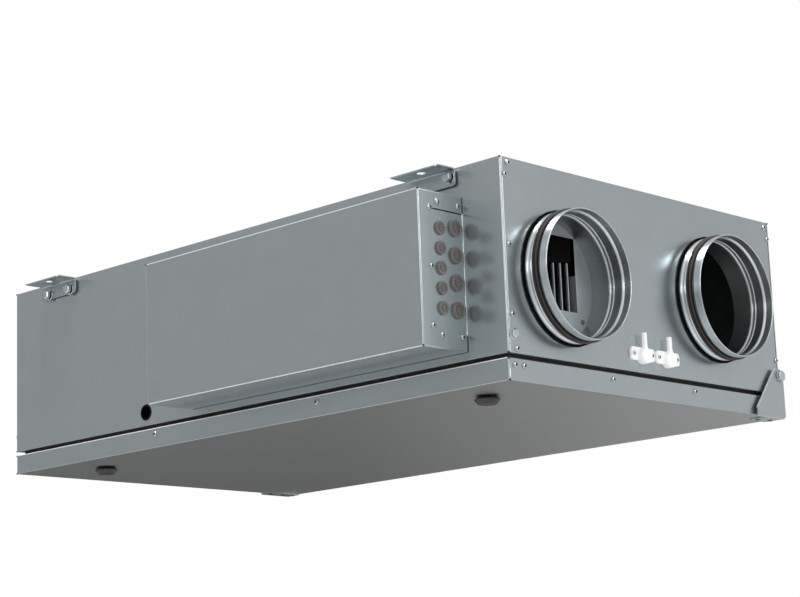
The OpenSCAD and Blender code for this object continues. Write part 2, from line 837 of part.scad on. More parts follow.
// Plug fan across the near bay: mounting plate, inlet ring, impeller, motor and four struts
module fan(end) {
    plate_t = 2;
    disc_t = 2;
    inlet_d = 0.66 * impeller_d;
    motor_d = 0.48 * impeller_d;
    motor_l = 44;
    strut_d = 7;
    strut_pitch = 0.78 * impeller_d;
    start = plate_t + 6;
    back = start + impeller_w;
    mid_z = bay_h / 2;
    color(bright_zinc) mirror([end < 0 ? 1 : 0, 0, 0]) {
        difference() {
            block([bay_x, -inner_w, case_z], [bay_x + plate_t, -partition_t / 2, ceiling_z]);
            translate([bay_x - 1, -inner_w + bay_w / 2, case_z + mid_z]) rotate([0, 90, 0])
                cylinder(h = plate_t + 2, d = inlet_d, $fn = round_fn);
        }
        translate([bay_x, -inner_w + bay_w / 2, case_z + mid_z]) rotate([0, 90, 0]) {
            translate([0, 0, start]) difference() {
                cylinder(h = disc_t, d = impeller_d, $fn = round_fn);
                translate([0, 0, -1]) cylinder(h = disc_t + 2, d = inlet_d, $fn = round_fn);
            }
            translate([0, 0, start + disc_t - eps]) linear_extrude(impeller_w - 2 * disc_t + 2 * eps)
                for (i = [0:blade_count - 1])
                    rotate(i * 360 / blade_count) blade_outline();
            translate([0, 0, back - disc_t]) cylinder(h = disc_t, d = impeller_d, $fn = round_fn);
            translate([0, 0, back - eps]) cylinder(h = motor_l, d = motor_d, $fn = round_fn);
            for (a = [-1, 1], b = [-1, 1])
                translate([a * strut_pitch / 2, b * strut_pitch / 2, plate_t - eps])
                    cylinder(h = back + motor_l - plate_t, d = strut_d, $fn = small_fn);
            translate([-strut_pitch / 2 - strut_d, -strut_pitch / 2 - strut_d, back + motor_l - 2 * eps])
                cube([strut_pitch + 2 * strut_d, strut_pitch + 2 * strut_d, plate_t]);
        }
    }
}

module supply_fan() { fan(1); }
module exhaust_fan() { fan(-1); }

// Plate with a window and a folded cheek beside it, on the inner face of the spigot end panel
module heater_plate() {
    y = spigot_y(-1);
    z = window_z;
    x = inner_l - heater_plate_t;
    cheek_y = y + window_w / 2;
    color(galvanised) {
        difference() {
            block([x, -inner_w, case_z], [inner_l, partition_t / 2, ceiling_z]);
            block([x - 1, y - window_w / 2, z - window_h / 2], [inner_l + 1, cheek_y, z + window_h / 2]);
        }
        block([x - cheek_l, cheek_y, z - window_h / 2],
            [inner_l, cheek_y + heater_plate_t, z - window_h / 2 + cheek_h]);
    }
}

heater_row_l = (2 * hairpin_count - 1) * heater_pitch;
window_z = spigot_z(-1) + window_up;
block_z = window_z + block_up;

// Children made about a row of rods along Y are put behind the window, turned from the plate
module at_heater() {
    back = heater_plate_t + heater_back + heater_row_l / 2 * sin(heater_turn);
    aside = window_w / 2 - heater_side - heater_row_l / 2 * cos(heater_turn);
    translate([inner_l - back, spigot_y(-1) + aside, 0]) rotate(-heater_turn) children();
}

// Terminal block that hangs from the top panel and carries the heater rods
module heater_block() {
    depth = 14;
    half = heater_row_l / 2 + heater_rod_d / 2 + 1;
    color(black_plastic) at_heater()
        block([-depth / 2, -half, block_z], [depth / 2, half, ceiling_z]);
}

// Hairpin rods under the terminal block
module heater_rods() {
    r = heater_rod_d / 2;
    bend = heater_pitch / 2;
    straight = block_z - (window_z - window_h / 2 - rod_dip) - bend - r;
    color(bright_zinc) at_heater() for (i = [0:hairpin_count - 1])
        translate([0, (2 * i + 1 - hairpin_count) * heater_pitch, block_z]) {
            for (side = [-1, 1])
                translate([0, side * bend, -straight]) cylinder(h = straight, r = r, $fn = small_fn);
            translate([0, 0, -straight]) rotate([0, 90, 0]) rotate([0, 0, -90])
                rotate_extrude(angle = 180, $fn = small_fn) translate([bend, 0]) circle(r, $fn = small_fn);
        }
}

top_panel();
near_side_panel();
far_side_panel();
spigot_end_panel();
rear_end_panel();
door_gasket();
supply_spigot();
extract_spigot();
exhaust_spigot();
outdoor_spigot();
supply_seal();
extract_seal();
exhaust_seal();
outdoor_seal();
control_box_cover();
control_box_base();
small_grommets();
large_grommets();
bracket_near_front();
bracket_near_rear();
bracket_far_front();
bracket_far_rear();
bracket_pads();
pressure_tap_left();
pressure_tap_right();
opening_bush();
pivot_bolt_front();
pivot_bolt_rear();
heater_plate();
heater_block();
heater_rods();
heat_exchanger();
partition_front();
partition_rear();
extract_filter();
outdoor_filter();
supply_fan();
exhaust_fan();
door_tray();
door_liner();
hinge_ear_front();
hinge_ear_rear();
knob_front();
knob_rear();
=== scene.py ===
"""Looks of the ceiling air handling unit: finishes, small fasteners, studio and camera."""
import json
import math

import bmesh
import bpy
from mathutils import Matrix, Vector


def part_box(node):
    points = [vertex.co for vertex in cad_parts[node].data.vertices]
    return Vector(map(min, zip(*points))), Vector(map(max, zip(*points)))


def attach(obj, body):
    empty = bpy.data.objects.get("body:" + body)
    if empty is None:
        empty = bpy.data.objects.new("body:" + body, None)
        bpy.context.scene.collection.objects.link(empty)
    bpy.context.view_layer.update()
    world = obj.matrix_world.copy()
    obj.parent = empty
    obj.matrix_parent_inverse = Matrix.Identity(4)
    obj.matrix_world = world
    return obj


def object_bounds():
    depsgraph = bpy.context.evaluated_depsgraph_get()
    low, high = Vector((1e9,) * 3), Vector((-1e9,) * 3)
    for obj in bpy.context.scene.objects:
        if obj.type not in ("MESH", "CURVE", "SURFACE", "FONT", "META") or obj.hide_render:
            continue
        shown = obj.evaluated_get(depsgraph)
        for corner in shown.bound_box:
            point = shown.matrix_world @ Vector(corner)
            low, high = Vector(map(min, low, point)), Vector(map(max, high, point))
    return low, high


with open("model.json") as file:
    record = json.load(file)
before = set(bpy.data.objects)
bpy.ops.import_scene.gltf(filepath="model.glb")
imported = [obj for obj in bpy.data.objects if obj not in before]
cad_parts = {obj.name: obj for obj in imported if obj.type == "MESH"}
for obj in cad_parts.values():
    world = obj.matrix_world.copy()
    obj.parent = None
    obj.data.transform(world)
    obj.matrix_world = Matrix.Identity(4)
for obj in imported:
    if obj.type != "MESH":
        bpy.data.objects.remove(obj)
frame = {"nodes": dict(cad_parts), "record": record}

cad_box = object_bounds()
scene = bpy.context.scene
MM = 0.001

# Places taken from the frame
case_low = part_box("near_side_panel")[0]
case_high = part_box("far_side_panel")[1]
door_low, door_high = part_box("door_tray")
pivot_low, pivot_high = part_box("pivot_bolt_front")
box_low, box_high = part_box("control_box_cover")
ear_low, ear_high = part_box("hinge_ear_front")

# Shares of a head's radius or height that shape the fasteners
PAN_RIM, FLUSH_EASE, WASHER_EASE = 0.35, 0.4, 0.3
SOCKET_DEPTH, SOCKET_FOOT, SOCKET_MOUTH = 0.7, 0.42, 0.52
HEX_SIDE, HEX_TOP = 0.82, 0.95


# Mesh makers
def add_piece(name, mesh, materials, body):
    """Adds a mesh piece that rides on a CAD body."""
    obj = bpy.data.objects.new(name, mesh)
    scene.collection.objects.link(obj)
    for material in materials:
        mesh.materials.append(material)
    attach(obj, body)


def lathe(profile, steps=32):
    """A bmesh turned about Z from (radius, height) points."""
    bm = bmesh.new()
    rings = []
    for radius, height in profile:
        if radius == 0:
            rings.append([bm.verts.new((0, 0, height))])
            continue
        angles = [2 * math.pi * i / steps for i in range(steps)]
        rings.append([bm.verts.new((radius * math.cos(a), radius * math.sin(a), height)) for a in angles])
    for low, high in zip(rings, rings[1:]):
        for i in range(steps):
            j = (i + 1) % steps
            corners = [low[i % len(low)], low[j % len(low)], high[j % len(high)], high[i % len(high)]]
            face = [v for k, v in enumerate(corners) if v not in corners[:k]]
            bm.faces.new(face)
    bmesh.ops.recalc_face_normals(bm, faces=bm.faces)
    return bm


def to_mesh(bm, name, smooth_angle=35):
    """Turns a bmesh into mesh data, smooth up to an angle."""
    mesh = bpy.data.meshes.new(name)
    for face in bm.faces:
        face.smooth = True
    bm.to_mesh(mesh)
    bm.free()
    mesh.set_sharp_from_angle(angle=math.radians(smooth_angle))
    return mesh


def cut(mesh, cutter):
    """The first mesh with the second one taken out of it."""
    objects = [bpy.data.objects.new("blank", mesh), bpy.data.objects.new("cutter", cutter)]
    for obj in objects:
        scene.collection.objects.link(obj)
    boolean = objects[0].modifiers.new("cut", "BOOLEAN")
    boolean.object = objects[1]
    boolean.solver = "EXACT"
    depsgraph = bpy.context.evaluated_depsgraph_get()
    result = bpy.data.meshes.new_from_object(objects[0].evaluated_get(depsgraph))
    for obj in objects:
        bpy.data.objects.remove(obj)
    return result


def pan_head(radius, height):
    """A domed screw head with a socket, standing on the XY plane; the socket takes the second slot, whose
    dark look paints its shade.
    """
    slopes = [math.radians(d) for d in (90, 75, 60, 45, 30, 15)]
    dome = [(math.sin(a) * radius, height * (PAN_RIM + (1 - PAN_RIM) * math.cos(a))) for a in slopes]
    head = to_mesh(lathe([(0, 0), (radius, 0)] + dome + [(0, height)]), "pan_head")
    socket = bmesh.new()
    bmesh.ops.create_cone(socket, cap_ends=True, segments=6, depth=2 * SOCKET_DEPTH * height,
                          radius1=SOCKET_FOOT * radius, radius2=SOCKET_MOUTH * radius,
                          matrix=Matrix.Translation((0, 0, height)))
    for face in socket.faces:
        face.material_index = 1
    return cut(head, to_mesh(socket, "socket"))


def flush_head(radius, height):
    """A low head with an eased edge and no recess, standing on the XY plane."""
    ease = FLUSH_EASE * height
    points = [(0, 0), (radius, 0), (radius, height - ease), (radius - ease, height), (0, height)]
    return to_mesh(lathe(points), "head")


def hex_head(across_flats, height):
    """A hexagon bolt head with a chamfered top, standing on the XY plane."""
    corner = across_flats / math.sqrt(3)
    top_corner = across_flats / 2 * HEX_TOP
    points = [(0, 0), (corner, 0), (corner, height * HEX_SIDE), (top_corner, height), (0, height)]
    return to_mesh(lathe(points, steps=6), "hex_head", smooth_angle=20)


def washer(radius, hole, thickness):
    """A flat ring with eased edges, standing on the XY plane."""
    ease = thickness * WASHER_EASE
    rim = [(radius, 0), (radius, thickness - ease), (radius - ease, thickness)]
    return to_mesh(lathe([(hole, 0)] + rim + [(hole, thickness), (hole, 0)]), "washer")


def scatter(name, places, materials, body):
    """Adds one joined piece from (mesh, position, outward direction, turn) places."""
    bm = bmesh.new()
    for mesh, position, outward, turn in places:
        before = len(bm.verts)
        bm.from_mesh(mesh)
        bm.verts.ensure_lookup_table()
        facing = Vector(outward).to_track_quat("Z", "Y").to_matrix().to_4x4()
        turned = facing @ Matrix.Rotation(turn, 4, "Z")
        bmesh.ops.transform(bm, matrix=Matrix.Translation(position) @ turned, verts=bm.verts[before:])
    add_piece(name, to_mesh(bm, name), materials, body)


def rod(start, stop, radius):
    """A thin round rod between two points, as a place for scatter."""
    length = (stop - start).length
    mesh = to_mesh(lathe([(0, 0), (radius, 0), (radius, length), (0, length)], steps=12), "rod")
    return mesh, start, stop - start, 0


def rod_along_x(low_x, high_x, y, z, radius):
    """A thin round rod along X, as a place for scatter."""
    return rod(Vector((low_x, y, z)), Vector((high_x, y, z)), radius)


# Tones as (dark, light), the sheet's gloss, and the spigots' beads and bores. The underside, inner-face
# and bore tones are painted shade, and so is the seal's dark tone in its grooves.
SHEET_TONES = ((0.390, 0.435, 0.450), (0.404, 0.450, 0.466))
UNDERSIDE_SHADE_TONES = ((0.330, 0.345, 0.348), (0.343, 0.358, 0.361))
INNER_SHADE_TONES = ((0.070, 0.076, 0.080), (0.090, 0.097, 0.102))
TURNED_TONES = ((0.55, 0.59, 0.61), (0.59, 0.63, 0.65))
BORE_SHADE_TONES = ((0.34, 0.36, 0.37), (0.37, 0.39, 0.40))
SEAL_AND_GROOVE_SHADE_TONES = ((0.004, 0.003, 0.003), (0.058, 0.051, 0.047))
SHEET_ROUGH, SHEET_METALLIC = 0.24, 0.82
SPIGOTS = ("supply_spigot", "extract_spigot", "exhaust_spigot", "outdoor_spigot")
BEAD_H, BORE_SKIN = 5 * MM, 1.2 * MM

# How far a face has to look along an axis to take the painted shade tone, and where the sheet's tone is
# reached
FACE_AIM, FOLD_AIM = 0.8, 0.5

# A mix node's colour sockets by number, because their names repeat
MIX_FACTOR, MIX_FIRST, MIX_SECOND, MIX_COLOUR = 0, 6, 7, 2


# Material makers
class Look:
    """A Principled material with short calls for its nodes."""

    def __init__(self, name, metallic, specular=0.5):
        self.material = bpy.data.materials.new(name)
        self.material.use_nodes = True
        self.tree = self.material.node_tree
        self.shader = self.tree.nodes["Principled BSDF"]
        self.shader.inputs["Metallic"].default_value = metallic
        self.shader.inputs["Specular IOR Level"].default_value = specular
        self.place = self.tree.nodes.new("ShaderNodeTexCoord").outputs["Object"]

    def stretch(self, scale):
        """The object's coordinates, scaled along each axis."""
        mapping = self.tree.nodes.new("ShaderNodeMapping")
        mapping.inputs["Scale"].default_value = scale
        self.tree.links.new(self.place, mapping.inputs["Vector"])
        return mapping.outputs["Vector"]

    def noise(self, scale, detail=3.0, vector=None):
        """A cloudy value."""
        node = self.tree.nodes.new("ShaderNodeTexNoise")
        node.inputs["Scale"].default_value = scale
        node.inputs["Detail"].default_value = detail
        self.tree.links.new(vector or self.place, node.inputs["Vector"])
        return node.outputs["Fac"]

    def cells(self, scale):
        """One random value for each cell."""
        node = self.tree.nodes.new("ShaderNodeTexVoronoi")
        node.inputs["Scale"].default_value = scale
        self.tree.links.new(self.place, node.inputs["Vector"])
        split = self.tree.nodes.new("ShaderNodeSeparateColor")
        self.tree.links.new(node.outputs["Color"], split.inputs["Color"])
        return split.outputs["Red"]

    def bands(self, scale, direction):
        """Nearly even bands across an axis."""
        node = self.tree.nodes.new("ShaderNodeTexWave")
        node.bands_direction = direction
        node.inputs["Scale"].default_value = scale
        node.inputs["Distortion"].default_value = 0.3
        self.tree.links.new(self.place, node.inputs["Vector"])
        return node.outputs["Fac"]

    def blend(self, first, second, share=0.5):
        """A mix of two values, with a share of the second."""
        node = self.tree.nodes.new("ShaderNodeMix")
        node.inputs["Factor"].default_value = share
        self.tree.links.new(first, node.inputs["A"])
        self.tree.links.new(second, node.inputs["B"])
        return node.outputs["Result"]

    def ramp(self, value, dark, light):
        """A colour between two tones."""
        ramp = self.tree.nodes.new("ShaderNodeValToRGB")
        ramp.color_ramp.elements[0].position = 0.3
        ramp.color_ramp.elements[1].position = 0.7
        ramp.color_ramp.elements[0].color = (*dark, 1)
        ramp.color_ramp.elements[1].color = (*light, 1)
        self.tree.links.new(value, ramp.inputs["Fac"])
        return ramp.outputs["Color"]

    def colours(self, value, dark, light):
        """Colours the surface between two tones."""
        self.tree.links.new(self.ramp(value, dark, light), self.shader.inputs["Base Color"])

    def fold_share(self, axis, sense):
        """0 on a piece's faces that look along an axis, up or down it, and 1 on its other faces."""
        normal = self.tree.nodes.new("ShaderNodeTexCoord").outputs["Normal"]
        split = self.tree.nodes.new("ShaderNodeSeparateXYZ")
        node = self.tree.nodes.new("ShaderNodeMapRange")
        node.inputs["From Min"].default_value = FACE_AIM * sense
        node.inputs["From Max"].default_value = FOLD_AIM * sense
        self.tree.links.new(normal, split.inputs["Vector"])
        self.tree.links.new(split.outputs[axis], node.inputs["Value"])
        return node.outputs["Result"]

    def shaded_bore_share(self, centre, radius):
        """0 on a round bore along X, 1 outside it."""
        mapping = self.tree.nodes.new("ShaderNodeMapping")
        mapping.inputs["Location"].default_value = (0, -centre.y, -centre.z)
        mapping.inputs["Scale"].default_value = (0, 1, 1)
        length = self.tree.nodes.new("ShaderNodeVectorMath")
        length.operation = "LENGTH"
        node = self.tree.nodes.new("ShaderNodeMapRange")
        node.inputs["From Min"].default_value = radius + BORE_SKIN / 3
        node.inputs["From Max"].default_value = radius + BORE_SKIN
        self.tree.links.new(self.place, mapping.inputs["Vector"])
        self.tree.links.new(mapping.outputs["Vector"], length.inputs[0])
        self.tree.links.new(length.outputs["Value"], node.inputs["Value"])
        return node.outputs["Result"]

    def two_tones(self, share, first, second):
        """Colours the surface from one colour to another."""
        mix = self.tree.nodes.new("ShaderNodeMix")
        mix.data_type = "RGBA"
        self.tree.links.new(share, mix.inputs[MIX_FACTOR])
        self.tree.links.new(first, mix.inputs[MIX_FIRST])
        self.tree.links.new(second, mix.inputs[MIX_SECOND])
        self.tree.links.new(mix.outputs[MIX_COLOUR], self.shader.inputs["Base Color"])

    def roughness(self, value, low, high):
        """Lets the gloss vary with a value."""
        node = self.tree.nodes.new("ShaderNodeMapRange")
        node.inputs["To Min"].default_value = low
        node.inputs["To Max"].default_value = high
        self.tree.links.new(value, node.inputs["Value"])
        self.tree.links.new(node.outputs["Result"], self.shader.inputs["Roughness"])

    def bump(self, value, strength, distance):
        """A fine relief from a value."""
        node = self.tree.nodes.new("ShaderNodeBump")
        node.inputs["Strength"].default_value = strength
        node.inputs["Distance"].default_value = distance
        self.tree.links.new(value, node.inputs["Height"])
        self.tree.links.new(node.outputs["Normal"], self.shader.inputs["Normal"])

    def spangle(self):
        """Zinc crystals, softened by a broad drift."""
        return self.blend(self.cells(45), self.noise(6), 0.6)

    def sheet_grain(self):
        """The very shallow grain of rolled sheet."""
        self.bump(self.noise(350, 2), 0.012, 0.3 * MM)


def sheet_steel(name, dark, light, smooth, rough, metallic):
    """Galvanised sheet: faint spangle, rolling streaks and a satin gloss."""
    look = Look(name, metallic)
    look.colours(look.spangle(), dark, light)
    streaks = look.noise(40, 2, look.stretch((0.15, 4, 4)))
    look.roughness(look.blend(streaks, look.noise(9)), smooth, rough)
    look.sheet_grain()
    return look.material


def face_shaded_steel(name, metallic, axis, sense, shade_tones, face_rough):
    """Galvanised sheet with a darker tone painted as shade on the faces that look along an axis, up or
    down it.
    """
    look = Look(name, metallic)
    fold = look.fold_share(axis, sense)
    spangle = look.spangle()
    look.two_tones(fold, look.ramp(spangle, *shade_tones), look.ramp(spangle, *SHEET_TONES))
    look.roughness(look.blend(fold, look.noise(9), 0.1), face_rough, SHEET_ROUGH)
    look.sheet_grain()
    return look.material


def bright_steel(name, dark, light, smooth, rough):
    """Bright zinc on formed pieces, with fine drawing marks."""
    look = Look(name, 1.0)
    look.colours(look.noise(30), dark, light)
    look.roughness(look.noise(120, 4, look.stretch((6, 1, 1))), smooth, rough)
    look.bump(look.noise(500, 2, look.stretch((3, 1, 1))), 0.03, 0.2 * MM)
    return look.material


def turned_steel(spigot):
    """Bright zinc with fine marks that run round a spigot, and a darker tone painted as shade in its bore.
    """
    look = Look(spigot + "_steel", 1.0)
    low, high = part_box(spigot)
    bore = look.shaded_bore_share((low + high) / 2, (high.z - low.z) / 2 - BEAD_H)
    tone = look.noise(12)
    look.two_tones(bore, look.ramp(tone, *BORE_SHADE_TONES), look.ramp(tone, *TURNED_TONES))
    look.roughness(look.noise(9), 0.26, 0.30)
    tangent = look.tree.nodes.new("ShaderNodeTangent")
    tangent.direction_type = "RADIAL"
    tangent.axis = "X"
    look.tree.links.new(tangent.outputs["Tangent"], look.shader.inputs["Tangent"])
    look.shader.inputs["Anisotropic"].default_value = 0.9
    look.shader.inputs["Anisotropic Rotation"].default_value = 0.25
    return look.material


def rubber(name, dark, light, rough, specular=0.35):
    """Moulded rubber with a dusty, slightly grainy skin."""
    look = Look(name, 0.0, specular)
    look.colours(look.noise(60, 4), dark, light)
    look.roughness(look.noise(90), rough - 0.08, rough + 0.08)
    look.bump(look.noise(1200, 2), 0.12, 0.3 * MM)
    return look.material


def ridged_rubber_groove_shade():
    """Ring seal with ridges that run round the spigot, and painted shade in the grooves between them."""
    look = Look("ridged_rubber_groove_shade", 0.0, 0.2)
    ridges = look.bands(59, "X")
    look.colours(look.blend(ridges, look.noise(60, 4), 0.2), *SEAL_AND_GROOVE_SHADE_TONES)
    look.roughness(look.noise(90), 0.55, 0.7)
    look.bump(ridges, 0.5, 0.6 * MM)
    return look.material


def plastic(name, dark, light, rough, grain, through=0.0, glow=0.0):
    """Moulded plastic with a fine texture, that may let some light through and carry a painted glow."""
    look = Look(name, 0.0, 0.5)
    look.shader.inputs["Emission Color"].default_value = (*light, 1)
    look.shader.inputs["Emission Strength"].default_value = glow
    look.shader.inputs["Subsurface Weight"].default_value = through
    look.shader.inputs["Subsurface Radius"].default_value = (1, 1, 1)
    look.shader.inputs["Subsurface Scale"].default_value = 12 * MM
    look.colours(look.noise(25), dark, light)
    look.roughness(look.noise(70), rough - 0.05, rough + 0.05)
    look.bump(look.noise(1500, 2), grain, 0.2 * MM)
    return look.material


def foil_with_channel_shade():
    """Edges of the exchanger's thin plates, seen as fine ribs, with painted shade in the channels between
    them.
    """
    look = Look("exchanger_foil", 0.9)
    ribs = look.bands(160, "X")
    look.colours(ribs, (0.20, 0.21, 0.22), (0.62, 0.65, 0.67))
    look.roughness(look.noise(80), 0.28, 0.42)
    look.bump(ribs, 0.6, 1 * MM)
    return look.material


def fleece():
    """Pleated filter fleece, a felt of short fibres."""
    look = Look("filter_media", 0.0, 0.2)
    fibres = look.blend(look.noise(900, 6), look.noise(60, 3), 0.35)
    look.colours(fibres, (0.42, 0.43, 0.42), (0.66, 0.68, 0.66))
    look.roughness(fibres, 0.85, 0.98)
    look.bump(fibres, 0.5, 0.6 * MM)
    return look.material


# Finishes by the record's slots, and of the pieces that differ from their slot
MATERIALS = {
    "galvanised": sheet_steel("galvanised", *SHEET_TONES, SHEET_ROUGH, SHEET_ROUGH + 0.04, SHEET_METALLIC),
    # The door's downward faces take a darker tone: painted shade
    "door_underside": face_shaded_steel("door_underside", 0.85, "Z", -1, UNDERSIDE_SHADE_TONES, 0.36),
    "bright_zinc": bright_steel("bright_zinc", (0.50, 0.54, 0.56), (0.58, 0.62, 0.64), 0.10, 0.18),
    "dark_rubber": rubber("dark_rubber", (0.010, 0.008, 0.007), (0.020, 0.017, 0.015), 0.62),
    "grommet_rubber": rubber("grommet_rubber", (0.140, 0.132, 0.129), (0.172, 0.163, 0.159), 0.66),
    "black_plastic": plastic("black_plastic", (0.010, 0.010, 0.010), (0.020, 0.020, 0.020), 0.42, 0.15),
    # The white plastic's glow is painted light that lifts its shaded sides
    "white_plastic": plastic("white_plastic", (0.90, 0.91, 0.91), (0.93, 0.94, 0.94), 0.30, 0.04,
                             through=0.6, glow=0.15),
    "exchanger_foil": foil_with_channel_shade(),
    "filter_media": fleece(),
}
PLATE_STEEL = sheet_steel("plate_steel", (0.40, 0.44, 0.455), (0.44, 0.485, 0.50), 0.34, 0.42, 0.5)
# Black for the heater block and bush, also painting the shade in slits, creases and spigot roots
BLACK_AND_SHADE = rubber("black_and_shade", (0.002, 0.002, 0.002), (0.004, 0.004, 0.004), 0.6, 0.05)
SEAL_RUBBER_GROOVE_SHADE = ridged_rubber_groove_shade()
ROD_STEEL = bright_steel("rod_steel", (0.07, 0.075, 0.08), (0.11, 0.117, 0.12), 0.14, 0.22)
SCREW_STEEL = bright_steel("screw_steel", (0.38, 0.42, 0.44), (0.46, 0.50, 0.52), 0.16, 0.26)
# Pale look for thin pieces that paint highlights along edges
EDGE_HIGHLIGHT = sheet_steel("painted_edge_highlight", (0.80, 0.83, 0.84), (0.86, 0.89, 0.90), 0.40, 0.50, 0.3)
# Dark steel for the ear screws, also painting the shade in screw sockets and corner notches
DARK_STEEL_AND_SHADE = bright_steel("dark_steel_and_shade", (0.030, 0.032, 0.034), (0.055, 0.058, 0.060), 0.28, 0.40)
SCREW_LOOK = (SCREW_STEEL, DARK_STEEL_AND_SHADE)
OWN_LOOKS = {"heater_plate": PLATE_STEEL, "heater_rods": ROD_STEEL, "heater_block": BLACK_AND_SHADE,
             "opening_bush": BLACK_AND_SHADE}
for spigot in SPIGOTS:
    OWN_LOOKS[spigot] = turned_steel(spigot)
    OWN_LOOKS[spigot.replace("spigot", "seal")] = SEAL_RUBBER_GROOVE_SHADE

# Painted shade: a dark tone on the casing panels' inner faces, as the axis and the way that each looks
# along it
SHADED_INNER_FACES = {"far_side_panel": ("Y", -1), "near_side_panel": ("Y", 1), "top_panel": ("Z", -1),
               "spigot_end_panel": ("X", -1), "rear_end_panel": ("X", 1)}
for panel, (axis, sense) in SHADED_INNER_FACES.items():
    OWN_LOOKS[panel] = face_shaded_steel(panel + "_steel", SHEET_METALLIC, axis, sense, INNER_SHADE_TONES, 0.40)

# Finishes on the frame's own nodes
EASE = 0.6 * MM
WELD_GAP = 0.01 * MM
OWN_EASE = {"control_box_cover": 0, "control_box_base": 0, "hinge_ear_front": 0.3 * MM,
            "hinge_ear_rear": 0.3 * MM}
EASED_SLOTS = ("galvanised", "door_underside", "white_plastic")
EASED_NODES = ("pivot_bolt_front", "pivot_bolt_rear", "heater_block")
STEEP_EDGE = math.radians(42)
CUT_EDGE = math.radians(65)


def fold_shading():
    """A node group that shades smooth across all but steep edges."""
    group = bpy.data.node_groups.new("fold_shading", "GeometryNodeTree")
    group.interface.new_socket("Geometry", in_out="INPUT", socket_type="NodeSocketGeometry")
    group.interface.new_socket("Geometry", in_out="OUTPUT", socket_type="NodeSocketGeometry")
    source = group.nodes.new("NodeGroupInput")
    result = group.nodes.new("NodeGroupOutput")
    angle = group.nodes.new("GeometryNodeInputMeshEdgeAngle")
    steep = group.nodes.new("FunctionNodeCompare")
    steep.operation = "GREATER_THAN"
    steep.inputs["B"].default_value = STEEP_EDGE
    normals = group.nodes.new("GeometryNodeSetMeshNormal")
    normals.inputs["Remove Custom"].default_value = True
    group.links.new(angle.outputs["Unsigned Angle"], steep.inputs["A"])
    group.links.new(steep.outputs["Result"], normals.inputs["Edge Sharpness"])
    group.links.new(source.outputs["Geometry"], normals.inputs["Mesh"])
    group.links.new(normals.outputs["Mesh"], result.inputs["Geometry"])
    return group


def ease_edges(obj, width, shading):
    """Rounds a piece's cut edges and gives its folds an even gloss."""
    weld = obj.modifiers.new("join", "WELD")
    weld.merge_threshold = WELD_GAP
    if width:
        bevel = obj.modifiers.new("edges", "BEVEL")
        bevel.width = width
        bevel.segments = 3
        bevel.use_clamp_overlap = False
        bevel.limit_method = "ANGLE"
        bevel.angle_limit = CUT_EDGE
    smooth = obj.modifiers.new("shading", "NODES")
    smooth.node_group = shading
    even = obj.modifiers.new("even", "WEIGHTED_NORMAL")
    even.mode = "FACE_AREA"
    even.keep_sharp = True


shading = fold_shading()
for part in frame["record"]["subparts"]:
    node = frame["nodes"][part["node"]]
    node.data.materials.clear()
    node.data.materials.append(OWN_LOOKS.get(part["node"], MATERIALS[part["material_slot"]]))
    if part["material_slot"] in EASED_SLOTS or part["node"] in EASED_NODES:
        ease_edges(node, OWN_EASE.get(part["node"], EASE), shading)

# Screws in the end panels near each side, as (in from the side, below the top) in mm
SCREW = pan_head(4.5 * MM, 3.1 * MM)
SCREW_TURN = 0.7
NEAR_END_SCREWS = ((16.5, 8), (8.5, 26), (11, 130), (11, 233), (18, 283))
FAR_END_SCREWS = ((14, 9), (6.5, 28), (6.5, 234))
end_places = []
for end in (1, -1):
    for inset, drop in NEAR_END_SCREWS:
        spot = Vector((end * case_high.x, case_low.y + inset * MM, case_high.z - drop * MM))
        end_places.append((SCREW, spot, (end, 0, 0), SCREW_TURN * len(end_places)))
    for inset, drop in FAR_END_SCREWS:
        spot = Vector((end * case_high.x, case_high.y - inset * MM, case_high.z - drop * MM))
        end_places.append((SCREW, spot, (end, 0, 0), SCREW_TURN * len(end_places)))
scatter("end_panel_screws", end_places, SCREW_LOOK, "casing")

# Screws that hold the door's tray to its liner, in mm from its near side and from its front end
DOOR_SCREW_UP = 23 * MM
DOOR_END_SCREWS = (12, 32, 235, 439)
DOOR_SIDE_SCREWS = (397, 789)
door_places = []
for end in (1, -1):
    for inset in DOOR_END_SCREWS:
        spot = Vector((end * door_high.x, door_low.y + inset * MM, door_low.z + DOOR_SCREW_UP))
        door_places.append((SCREW, spot, (end, 0, 0), SCREW_TURN * len(door_places)))
for side in (-1, 1):
    for inset in DOOR_SIDE_SCREWS:
        spot = Vector((door_high.x - inset * MM, side * door_high.y, door_low.z + DOOR_SCREW_UP))
        door_places.append((SCREW, spot, (0, side, 0), SCREW_TURN * len(door_places)))
scatter("door_screws", door_places, SCREW_LOOK, "door")

# Screws round the control box's grommet plate, as (out from the casing, below the box's top) in mm
BOX_SCREWS = ((71.5, 26), (54, 16), (10, 16.5), (71.5, 112.5), (72.5, 200), (54, 212), (10.5, 211))
box_places = []
for end, wall in ((1, box_high.x), (-1, box_low.x)):
    for out, drop in BOX_SCREWS:
        spot = Vector((wall, case_low.y - out * MM, box_high.z - drop * MM))
        box_places.append((SCREW, spot, (end, 0, 0), SCREW_TURN * len(box_places)))
scatter("control_box_screws", box_places, SCREW_LOOK, "casing")

# Bright bend where the grommet plate meets the casing, between the cover's strips
BEND_R = 1.3 * MM
BEND_FROM_TOP, BEND_FROM_FOOT = 26.5 * MM, 24.5 * MM
bend_l = box_high.z - box_low.z - BEND_FROM_TOP - BEND_FROM_FOOT
BEND = to_mesh(lathe([(0, 0), (BEND_R, 0), (BEND_R, bend_l), (0, bend_l)], steps=16), "bend")
bend_places = []
for wall in (box_high.x, box_low.x):
    spot = Vector((wall, case_low.y - BEND_R / 2, box_low.z + BEND_FROM_FOOT))
    bend_places.append((BEND, spot, (0, 0, 1), 0))
scatter("grommet_plate_bends", bend_places, [SCREW_STEEL], "casing")

